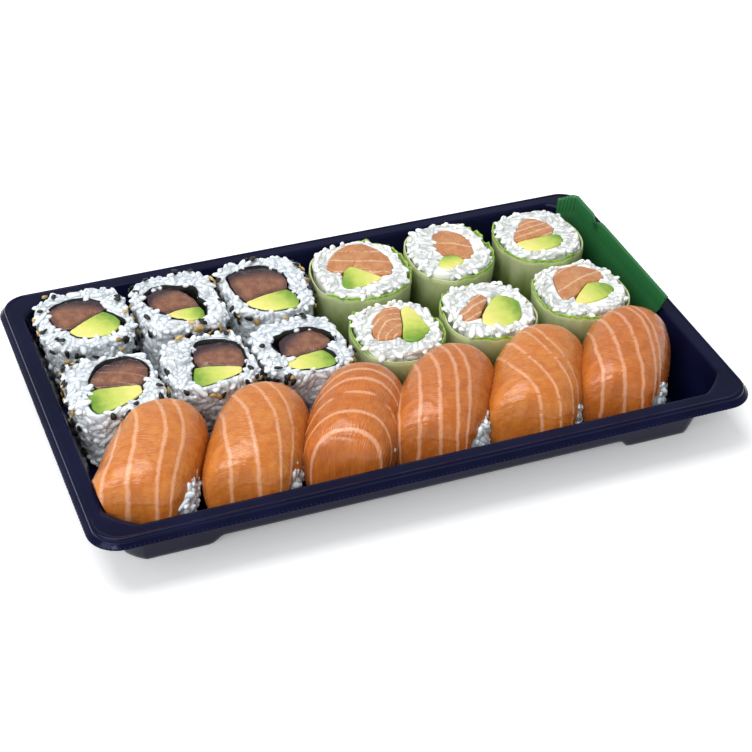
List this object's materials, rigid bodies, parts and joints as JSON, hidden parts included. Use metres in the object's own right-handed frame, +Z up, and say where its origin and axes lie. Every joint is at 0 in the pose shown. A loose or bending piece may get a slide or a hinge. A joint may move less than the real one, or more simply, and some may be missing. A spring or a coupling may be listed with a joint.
{
  "type": "takeaway sushi tray",
  "caption": "Shallow dark plastic tray on corner feet, packed with inside-out rolls, wrapped rolls and salmon nigiri, with a thin green divider sheet in one back corner.",
  "frame": {"origin": "middle of the tray, on the surface its feet stand on", "axes": "+X along the tray's long side, towards the green sheet; +Y to the back, away from the nigiri; +Z up"},
  "size_m": [0.24, 0.15, 0.035],
  "materials": {
    "tray_plastic": "glossy thermoformed polystyrene, near black with a blue cast",
    "leaf_plastic": "thin satin green film with fine ribs",
    "rice": "moist cooked rice",
    "wrapper": "translucent pale green wrapper, moist",
    "salmon": "raw salmon, moist and glossy",
    "roll_salmon": "darker raw salmon, moist",
    "avocado": "ripe avocado flesh",
    "seaweed": "moist dark seaweed sheet",
    "sesame": "black and toasted golden sesame seeds"
  },
  "bodies": {
    "root": {"tray": "tray_plastic", "leaf_sheet": "leaf_plastic", "inside_out_1_rice": "rice", "inside_out_1_salmon": "roll_salmon", "inside_out_1_avocado": "avocado", "inside_out_2_rice": "rice", "inside_out_2_salmon": "roll_salmon", "inside_out_2_avocado": "avocado", "inside_out_3_rice": "rice", "inside_out_3_salmon": "roll_salmon", "inside_out_3_avocado": "avocado", "inside_out_4_rice": "rice", "inside_out_4_salmon": "roll_salmon", "inside_out_4_avocado": "avocado", "inside_out_5_rice": "rice", "inside_out_5_salmon": "roll_salmon", "inside_out_5_avocado": "avocado", "inside_out_6_rice": "rice", "inside_out_6_salmon": "roll_salmon", "inside_out_6_avocado": "avocado", "wrapped_1_wrapper": "wrapper", "wrapped_1_rice": "rice", "wrapped_1_salmon": "salmon", "wrapped_1_avocado": "avocado", "wrapped_2_wrapper": "wrapper", "wrapped_2_rice": "rice", "wrapped_2_salmon": "salmon", "wrapped_2_avocado": "avocado", "wrapped_3_wrapper": "wrapper", "wrapped_3_rice": "rice", "wrapped_3_salmon": "salmon", "wrapped_3_avocado": "avocado", "wrapped_4_wrapper": "wrapper", "wrapped_4_rice": "rice", "wrapped_4_salmon": "salmon", "wrapped_4_avocado": "avocado", "wrapped_5_wrapper": "wrapper", "wrapped_5_rice": "rice", "wrapped_5_salmon": "salmon", "wrapped_5_avocado": "avocado", "wrapped_6_wrapper": "wrapper", "wrapped_6_rice": "rice", "wrapped_6_salmon": "salmon", "wrapped_6_avocado": "avocado", "nigiri_1_rice": "rice", "nigiri_1_salmon": "salmon", "nigiri_2_rice": "rice", "nigiri_2_salmon": "salmon", "nigiri_3_rice": "rice", "nigiri_3_salmon": "salmon", "nigiri_4_rice": "rice", "nigiri_4_salmon": "salmon", "nigiri_5_rice": "rice", "nigiri_5_salmon": "salmon", "nigiri_6_rice": "rice", "nigiri_6_salmon": "salmon"}
  },
  "joints": []
}
